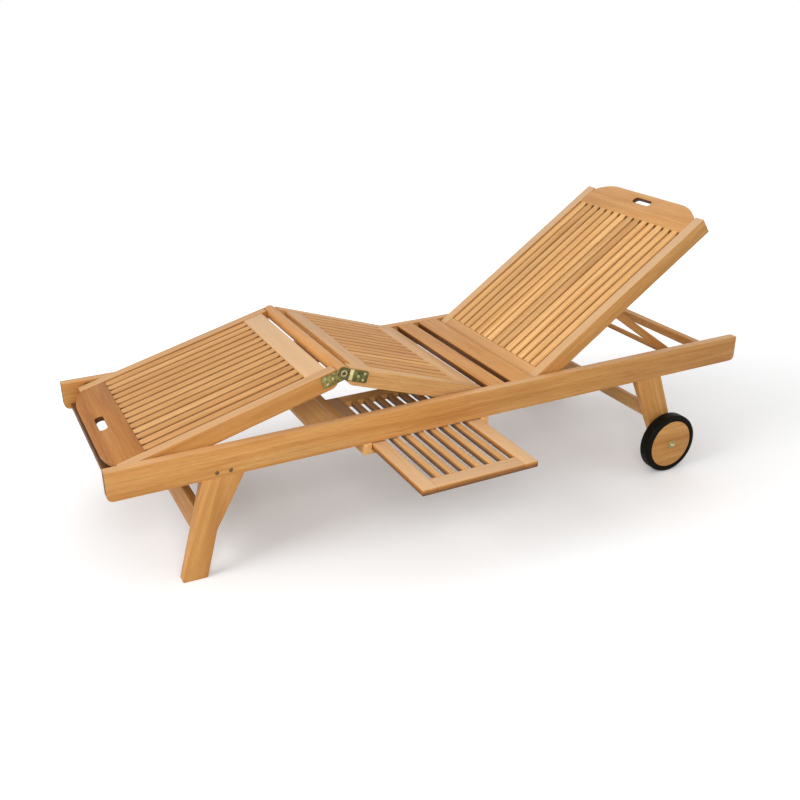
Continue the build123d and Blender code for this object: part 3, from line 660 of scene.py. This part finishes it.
def slat_row_tree():
    """A row of round-edged slats along a path, each with its own tone and stretch of grain."""
    measures = ("Length", "Width", "Thickness", "Rounding", "Pitch", "Darkest", "Lightest", "Painted Shade",
                "Start Painted Shade", "End Painted Shade")
    tree = Growth("slat_row", {"Geometry": "Geometry", **dict.fromkeys(measures, "Float"),
                               "Count": "Int", "Seed": "Int", "Material": "Material"})
    given = tree.given
    outline = tree.out("GeometryNodeCurvePrimitiveQuadrilateral",
                       {"Width": given["Width"], "Height": given["Thickness"]})
    outline = tree.out("GeometryNodeFilletCurve",
                       {"Curve": outline, "Radius": given["Rounding"], "Count": SLAT_ROUND_STEPS,
                        "Limit Radius": True}, mode="POLY")
    path = tree.out("GeometryNodeMeshToCurve", {"Mesh": given["Geometry"]})
    slat = tree.out("GeometryNodeCurveToMesh",
                    {"Curve": path, "Profile Curve": outline, "Fill Caps": True})
    place = tree.out("GeometryNodeInputPosition")
    slat = tree.store(slat, "grain", place)
    slat = tree.store(slat, "grime", slat_painted_shade(tree, place), data_type="FLOAT")
    reach = tree.math("MULTIPLY", tree.math("SUBTRACT", given["Count"], 1.0), given["Pitch"])
    start = tree.out("ShaderNodeCombineXYZ", {"Y": tree.math("MULTIPLY", reach, -0.5)})
    step = tree.out("ShaderNodeCombineXYZ", {"Y": given["Pitch"]})
    row = tree.out("GeometryNodeMeshLine",
                   {"Count": given["Count"], "Start Location": start, "Offset": step})
    row = tree.out("GeometryNodeInstanceOnPoints", {"Points": row, "Instance": slat})
    tone = tree.random(given["Darkest"], given["Lightest"], "FLOAT")
    row = tree.store(row, "tone", tone, "INSTANCE", "FLOAT")
    slide = tree.random([-GRAIN_SHIFT] * 3, [GRAIN_SHIFT] * 3, "FLOAT_VECTOR")
    row = tree.store(row, "slide", slide, "INSTANCE")
    row = tree.out("GeometryNodeRealizeInstances", {"Geometry": row})
    grain = tree.math("ADD", tree.stored("grain"), tree.stored("slide"), "ShaderNodeVectorMath")
    return tree.finish(tree.store(row, "grain", grain))


def screw_set_tree():
    """Domed screw heads with a driver slot, one on each point, each turned its own way.

    The slot's block is centred on the top of a dome of size 1, and both are scaled to the head.
    """
    tree = Growth("screw_set", {"Geometry": "Geometry", "Radius": "Float", "Height": "Float",
                                "Seed": "Int", "Material": "Material"})
    given = tree.given
    size = tree.out("ShaderNodeCombineXYZ",
                    {"X": given["Radius"], "Y": given["Radius"], "Z": given["Height"]})
    dome = tree.out("GeometryNodeMeshUVSphere",
                    {"Segments": SCREW_SEGMENTS, "Rings": SCREW_RINGS, "Radius": 1.0})
    dome = tree.out("GeometryNodeTransform", {"Geometry": dome, "Scale": size})
    groove = tree.out("GeometryNodeMeshCube", {"Size": SLOT_BLOCK})
    groove = tree.out("GeometryNodeTransform", {"Geometry": groove, "Translation": (0, 0, 1)})
    groove = tree.out("GeometryNodeTransform", {"Geometry": groove, "Scale": size})
    head = tree.out("GeometryNodeMeshBoolean", {"Mesh 1": dome, "Mesh 2": groove},
                    operation="DIFFERENCE")
    turn = tree.random((0, 0, 0), (0, 0, math.pi), "FLOAT_VECTOR")
    heads = tree.out("GeometryNodeInstanceOnPoints",
                     {"Points": given["Geometry"], "Instance": head, "Rotation": turn})
    return tree.finish(tree.out("GeometryNodeRealizeInstances", {"Geometry": heads}))


SLAT_ROW = slat_row_tree()
SCREW_SET = screw_set_tree()


def grown(tree, name, values, points, edges=()):
    """The plain mesh that a tree makes from its inputs and from points to stand on."""
    base = bpy.data.meshes.new(name)
    base.from_pydata(points, edges, [])
    holder = in_scene(name, base)
    modifier = holder.modifiers.new("grow", "NODES")
    modifier.node_group = tree
    for item in tree.interface.items_tree:
        if item.in_out == "INPUT" and item.name in values:
            modifier[item.identifier] = values[item.name]
    graph = bpy.context.evaluated_depsgraph_get()
    mesh = bpy.data.meshes.new_from_object(holder.evaluated_get(graph),
                                           preserve_all_data_layers=True, depsgraph=graph)
    bpy.data.objects.remove(holder)
    return mesh


def slat_row(name, length, tones, painted_shades, material, **values):
    """A row of slats, with its darkest and lightest tone, and painted shade in the gaps all along, at
    start and end.
    """
    values.update({"Length": length, "Darkest": tones[0], "Lightest": tones[1], "Material": material})
    values.update(zip(("Painted Shade", "Start Painted Shade", "End Painted Shade"), painted_shades))
    points = [(x, 0, 0) for x in (0, SLAT_END, length - SLAT_END, length)]
    return grown(SLAT_ROW, name, values, points, [(0, 1), (1, 2), (2, 3)])


def panel_slats(node, body, axes, span, tones, painted_shades, seed, material=SLAT_TEAK):
    """A panel's row of slats."""
    mesh = slat_row(node, span[1] - span[0], tones, painted_shades, material, Width=SLAT_WIDTH,
                    Thickness=SLAT_THICK, Rounding=SLAT_ROUND, Pitch=SLAT_WIDTH + SLAT_GAP,
                    Count=SLAT_COUNT, Seed=seed)
    mesh.transform(axes @ Matrix.Translation((span[0], 0, AXIS_DEPTH - SLAT_THICK / 2)))
    piece_from(mesh, "slats." + node, material, body, node)


def side_screws(name, body, axes, out, places, radius, height, material, node=None):
    """Screw heads on both side faces, at (along, up) places."""
    both = []
    for number, side in enumerate(SIDES):
        up = 1 if side == "near" else -1
        values = {"Radius": radius, "Height": height, "Seed": number, "Material": material}
        mesh = grown(SCREW_SET, name, values, [(x, up * z, 0) for x, z in places])
        both.append((mesh, side_face(axes, out, side)))
    piece_from(gathered(name, both), name, material, body, node)


# The lounger

def fixed_frame():
    """Rails, legs, cross pieces, seat slats, and the pins and bolts that stay with them."""
    across = RAILS @ CROSS
    for side in SIDES:
        rail = wooden(f"side_rail_{side}", "frame", RAILS, FRAME_SOFT, tone=0.45, top_sheen=0.35)
        # Darker end grain with painted shade on the rails' ends
        paint_end_grain_and_shade(rail, RAILS, END_GRAIN_AND_SHADE)
        for leg, places in LEG_LEANS.items():
            wooden(f"{leg}_{side}", "frame", lean(*places), FRAME_SOFT, tone=0.40)
        wooden(f"prop_rack_{side}", "frame", RAILS, RACK_SOFT, tone=0.45)
    # Painted shade: the foot crossbar's face, in shade under the foot board, is darkened
    wooden("foot_crossbar", "frame", across, FRAME_SOFT, tone=0.45, grime=0.8)
    for node, tone in (("head_crossbar", 0.45), ("foot_stretcher", 0.20)):
        wooden(node, "frame", across, FRAME_SOFT, tone)
    # The head stretcher and knee board stand in shade under the panels; their light tones in the
    # paler teak are painted light
    for node, tone in (("head_stretcher", 0.68), ("knee_board", 0.98)):
        wooden(node, "frame", across, FRAME_SOFT, tone, material=SLAT_TEAK)
    # The tray guides stand in shade under the seat; their light tone in the paler teak is painted
    # light
    for node in ("tray_guide_foot", "tray_guide_head"):
        wooden(node, "frame", across, BAR_SOFT, tone=0.92, material=SLAT_TEAK)
    for node in ("seat_slat_1", "seat_slat_2"):
        slat = wooden(node, "frame", across, STILE_SOFT, tone=0.34)
        # Painted shade down the seat slats' sides, in the gaps between them
        paint_shade_down_sides(slat, RAILS, SEAT_GAP_SHADE)
    for node in ("back_pins", "thigh_pins", "axle_bolts", "axle_spacers"):
        metal(node, "frame")
    soles = Matrix.Translation(rail_place(0, 0, 0)) @ RAILS
    bolts = [(x, BOLTS_Z) for x in BOLTS_X]
    side_screws("leg_bolts", "frame", soles, HALF_WIDTH, bolts, BOLT_RADIUS, BOLT_HEIGHT,
                BROWN_STEEL, "leg_bolts")


def panels_and_prop():
    """The slatted back, thigh and calf panels, and the prop behind the back."""
    for side in SIDES:
        wooden(f"back_stile_{side}", "back", BACK, STILE_SOFT, tone=0.6, top_sheen=0.9)
        wooden(f"thigh_stile_{side}", "thigh", THIGH, STILE_SOFT, tone=0.58, top_sheen=0.1,
               material=SLAT_TEAK)
        wooden(f"calf_stile_{side}", "calf", CALF, STILE_SOFT, tone=0.22, top_sheen=0.5)
        wooden(f"prop_leg_{side}", "prop", lean(*PROP_LEAN), FRAME_SOFT, tone=0.45)
    wooden("back_rail", "back", BACK @ CROSS, BOARD_SOFT, tone=0.5, top_sheen=0.35)
    headboard = wooden("headboard", "back", BACK @ CROSS, BOARD_SOFT, tone=0.42, top_sheen=0.2)
    # Painted shade on the walls of the hand slot
    paint_slot_shade(headboard, BACK)
    wooden("thigh_front_rail", "thigh", THIGH @ CROSS, BOARD_SOFT, tone=0.6, top_sheen=0.5)
    wooden("thigh_rear_rail", "thigh", THIGH @ CROSS, BOARD_SOFT, tone=0.6, top_sheen=0.4)
    wooden("calf_knee_rail", "calf", CALF @ CROSS, BOARD_SOFT, tone=0.45, top_sheen=0.9)
    foot_board = wooden("foot_board", "calf", CALF @ CROSS, BOARD_SOFT, tone=0.0, grime=0.09)
    # Painted shade on the walls of the foot board's slot
    paint_slot_shade(foot_board, CALF)
    wooden("knee_bar", "thigh", THIGH @ CROSS, BAR_SOFT, tone=0.40, top_sheen=0.2)
    wooden("prop_bar", "prop", RAILS @ CROSS, BAR_SOFT, tone=0.45)
    # Painted shade down the slats' sides in the gaps, and towards the gaps' ends
    panel_slats("back_slats", "back", BACK, BACK_SLATS, tones=(0.60, 0.88),
                painted_shades=(0.45, 0.0, 2.4), seed=3)
    panel_slats("thigh_slats", "thigh", THIGH, THIGH_SLATS, tones=(0.38, 0.74),
                painted_shades=(1.0, 0.0, 0.0), seed=11, material=FRAME_TEAK)
    panel_slats("calf_slats", "calf", CALF, CALF_SLATS, tones=(0.13, 0.45),
                painted_shades=(1.0, 2.0, 2.0), seed=23)
    metal("prop_pins", "back")
    metal("foot_pins", "calf")


def knee_heads():
    """The knee pins' heads: a pale ring round a slotted screw, whose dark steel is partly the screw's
    own colour and partly painted shade for the ring's well.
    """
    low = LEAF_FACE + KNEE_HEAD_LIFT
    ring = turned("knee_ring", ring_profile(KNEE_WELL_RADIUS, KNEE_HEAD_RADIUS, low,
                                            low + KNEE_HEAD_HEIGHT, KNEE_HEAD_EASE))
    rings = on_both_sides("knee_rings", ring, THIGH)
    piece_from(rings, "knee_rings", PALE_BRASS, "thigh", "knee_pins")
    side_screws("knee_screws", "thigh", THIGH, low, [(0, 0)], KNEE_SCREW_RADIUS, KNEE_SCREW_HEIGHT,
                WELL_SHADE_STEEL)


def knee_collars():
    """Thin raised collars round the knee discs; their dark brass is a painted shade ring round the
    pin heads.
    """
    collar = turned("knee_collar", ring_profile(*COLLAR_SPAN, LEAF_FACE - COLLAR_SUNK,
                                                LEAF_FACE + COLLAR_PROUD, COLLAR_EASE))
    collars = on_both_sides("knee_collars", collar, CALF)
    piece_from(collars, "knee_collars", SHADE_RING_BRASS, "calf")


def neck_strips():
    """Bright brass strips on the thigh leaves, beside the knee discs."""
    body = bmesh.new()
    bmesh.ops.create_cube(body, size=1)
    size = Vector((NECK_SPAN[1] - NECK_SPAN[0], 2 * NECK_PROUD, NECK_HEIGHT))
    bmesh.ops.scale(body, vec=size, verts=body.verts)
    bmesh.ops.bevel(body, geom=body.edges[:], offset=NECK_EASE, segments=2, affect="EDGES")
    strip = mesh_from(body, "neck_strip")
    strips = []
    for way in (-1, 1):
        place = Vector((sum(NECK_SPAN) / 2, way * NECK_FACE, NECK_MIDDLE))
        strips.append((strip, THIGH @ Matrix.Translation(place)))
    piece_from(gathered("neck_strips", strips), "neck_strips", BRIGHT_BRASS, "thigh")


def knee_hinges():
    """Brass leaves with their screws, and what sits on them."""
    for side in SIDES:
        metal(f"calf_leaf_{side}", "calf", OLIVE_BRASS)
        metal(f"thigh_leaf_{side}", "thigh", GREEN_BRASS)
    for body, axes in (("calf", CALF), ("thigh", THIGH)):
        side_screws(body + "_leaf_screws", body, axes, LEAF_FACE, LEAF_SCREWS[body], SCREW_RADIUS,
                    SCREW_HEIGHT, WORN_BRASS)
    knee_heads()
    knee_collars()
    neck_strips()


def tray():
    """The side tray, whose slats run across the lounger."""
    for node, axes in (("tray_stile_foot", RAILS @ CROSS), ("tray_stile_head", RAILS @ CROSS),
                       ("tray_rail_outer", RAILS)):
        board = wooden(node, "tray", axes, TRAY_SOFT, tone=0.50, top_sheen=0.75)
        # Painted shade down the tray boards' sides, towards their undersides
        paint_shade_down_sides(board, RAILS, TRAY_EDGE_SHADE)
    # The inner tray rail stands in shade under the lounger; its light tone in the paler teak is
    # painted light
    wooden("tray_rail_inner", "tray", RAILS, TRAY_SOFT, tone=0.98, material=SLAT_TEAK)
    # Painted shade down the tray slats' sides, in the slots
    mesh = slat_row("tray_slats", TRAY_RUN[1] - TRAY_RUN[0], tones=(0.5, 0.8),
                    painted_shades=(1.0, 0.0, 0.0), material=SLAT_TEAK, Width=TRAY_SLAT_WIDTH,
                    Thickness=TRAY_THICK, Rounding=TRAY_SOFT, Pitch=TRAY_SLAT_WIDTH + TRAY_SLOT,
                    Count=TRAY_SLATS, Seed=31)
    start = rail_place(sum(TRAY_FIELD) / 2, TRAY_RUN[0], TRAY_TOP - TRAY_THICK / 2)
    mesh.transform(Matrix.Translation(start) @ RAILS @ CROSS)
    piece_from(mesh, "slats.tray_slats", SLAT_TEAK, "tray", "tray_slats")


def tyre_profile():
    """A round-shouldered tyre with a groove in each side."""
    round_at = WHEEL_RADIUS - SHOULDER
    groove = [(WHEEL_DISC_RADIUS + out, deep) for out, deep in TYRE_GROOVE]
    profile = [(r, WHEEL_INNER + deep) for r, deep in groove]
    profile += arc((round_at, WHEEL_INNER + SHOULDER), SHOULDER, -90, 0, steps=8)
    profile += arc((round_at, WHEEL_OUTER - SHOULDER), SHOULDER, 0, 90, steps=8)
    profile += [(r, WHEEL_OUTER - deep) for r, deep in reversed(groove)]
    return profile + profile[:1]


def disc_profile():
    """A flat wooden disc with eased rims."""
    round_at = WHEEL_DISC_RADIUS - DISC_EASE
    profile = [(WHEEL_BORE, WHEEL_INNER)]
    profile += arc((round_at, WHEEL_INNER + DISC_EASE), DISC_EASE, -90, 0, steps=4)
    profile += arc((round_at, WHEEL_OUTER - DISC_EASE), DISC_EASE, 0, 90, steps=4)
    profile += [(WHEEL_BORE, WHEEL_OUTER)]
    return profile + profile[:1]


def nut_and_washer():
    """A thin washer, a hexagon nut and its domed cap."""
    washer = [(WASHER_BORE, WASHER_FACE), (WASHER_RADIUS, WASHER_FACE),
              (WASHER_RADIUS, NUT_FACE - WASHER_EASE), (WASHER_RADIUS - WASHER_EASE, NUT_FACE),
              (WASHER_BORE, NUT_FACE), (WASHER_BORE, WASHER_FACE)]
    hexagon = [(0, NUT_FACE), (NUT_RADIUS, NUT_FACE), (NUT_RADIUS, CAP_FACE - NUT_EASE),
               (NUT_TOP_RADIUS, CAP_FACE), (0, CAP_FACE)]
    dome = arc((0, CAP_FACE - DOME_SUNK), DOME_RADIUS, 0, 90, steps=10)
    return [turned("washer", washer, segments=64), turned("nut", hexagon, segments=6),
            turned("dome", dome, segments=48)]


def wheels():
    """Wheels with tyres, and the nuts and washers that hold them."""
    nuts = []
    for side in SIDES:
        body = "wheel_" + side
        hub = joint_point(body + "_spin")
        place = Matrix.Translation((hub.x, MID_Y, hub.z)) @ outward(side)
        tyre = turned("tyre", tyre_profile(), segments=160)
        tyre.transform(place)
        piece_from(tyre, "tyre_" + side, RUBBER, body, "wheel_tyre_" + side)
        disc = turned("disc", disc_profile(), segments=128)
        disc.transform(place)
        set_grain(disc, RAILS, rng.uniform(*DISC_TONES))
        piece_from(disc, "disc_" + side, FRAME_TEAK, body, "wheel_disc_" + side)
        metal("wheel_bush_" + side, body, OLIVE_BRASS)
        nuts += [(mesh, place) for mesh in nut_and_washer()]
    mesh = gathered("wheel_nuts", nuts)
    piece_from(mesh, "wheel_nuts", YELLOW_STEEL, "frame", "wheel_nuts")


# Floor, light and camera

def seen_rays(nodes):
    """1 for rays that show the background to the eye, straight or in a reflection."""
    rays = nodes.add("ShaderNodeLightPath").outputs
    seen = rays["Is Camera Ray"]
    for name in ("Is Glossy Ray", "Is Transmission Ray"):
        seen = nodes.math("MAXIMUM", seen, rays[name])
    return seen


def floor_material():
    """White paper to the eye that throws back little light; it glows away from the lounger, and its
    weaker glow near the lounger is a painted shadow.
    """
    paper = Finish("studio_floor")
    seen = seen_rays(paper)
    shorter = paper.math("MULTIPLY", paper.coordinate(), PAINTED_SHADOW_STRETCH, "ShaderNodeVectorMath")
    away = paper.out("ShaderNodeVectorMath", {"Vector": shorter}, operation="LENGTH")
    glow = paper.out("ShaderNodeMapRange", {"Value": away, "From Min": PAINTED_SHADOW_REACH[0],
                                            "From Max": PAINTED_SHADOW_REACH[1], "To Min": FLOOR_GLOW[0],
                                            "To Max": FLOOR_GLOW[1]})
    paper.feed({"Base Color": paper.mix(seen, opaque(FLOOR_BOUNCE), opaque(FLOOR_SEEN)),
                "Roughness": 1.0, "Specular IOR Level": 0.0, "Emission Color": opaque(WHITE),
                "Emission Strength": paper.math("MULTIPLY", seen, glow)})
    return paper.material


def studio_world():
    """An even white surround."""
    world = bpy.data.worlds.new("studio")
    bpy.context.scene.world = world
    world.use_nodes = True
    sky = Nodes(world.node_tree)
    strength = sky.out("ShaderNodeMapRange", {"Value": seen_rays(sky), "To Min": SKY_LIGHT,
                                              "To Max": SKY_SEEN})
    background = world.node_tree.nodes["Background"].inputs
    sky.plug(background["Color"], opaque(WHITE))
    sky.plug(background["Strength"], strength)


def studio():
    """Floor, surround and soft lamps."""
    bpy.ops.mesh.primitive_plane_add(size=FLOOR_SIZE, location=(0, 0, -FLOOR_DROP))
    floor = bpy.context.object
    floor.name = "studio_floor"
    floor.data.materials.append(floor_material())
    studio_world()
    for name, place, size, power in LAMPS:
        lamp = bpy.data.lights.new(name, "AREA")
        lamp.size = size
        lamp.energy = power
        holder = in_scene(name, lamp)
        holder.location = place
        view = Vector(LAMP_AIM) - Vector(place)
        holder.rotation_euler = view.to_track_quat("-Z", "Y").to_euler()


def camera():
    """The photograph's viewpoint."""
    lens = bpy.data.cameras.new("camera")
    lens.sensor_width = SENSOR_WIDTH
    lens.lens = LENS_LENGTH
    holder = in_scene("camera", lens)
    holder.location = CAMERA_PLACE
    holder.rotation_euler = [math.radians(angle) for angle in CAMERA_TURN]
    bpy.context.scene.camera = holder


fixed_frame()
panels_and_prop()
knee_hinges()
tray()
wheels()
studio()
camera()
bpy.context.scene.view_settings.view_transform = "Standard"
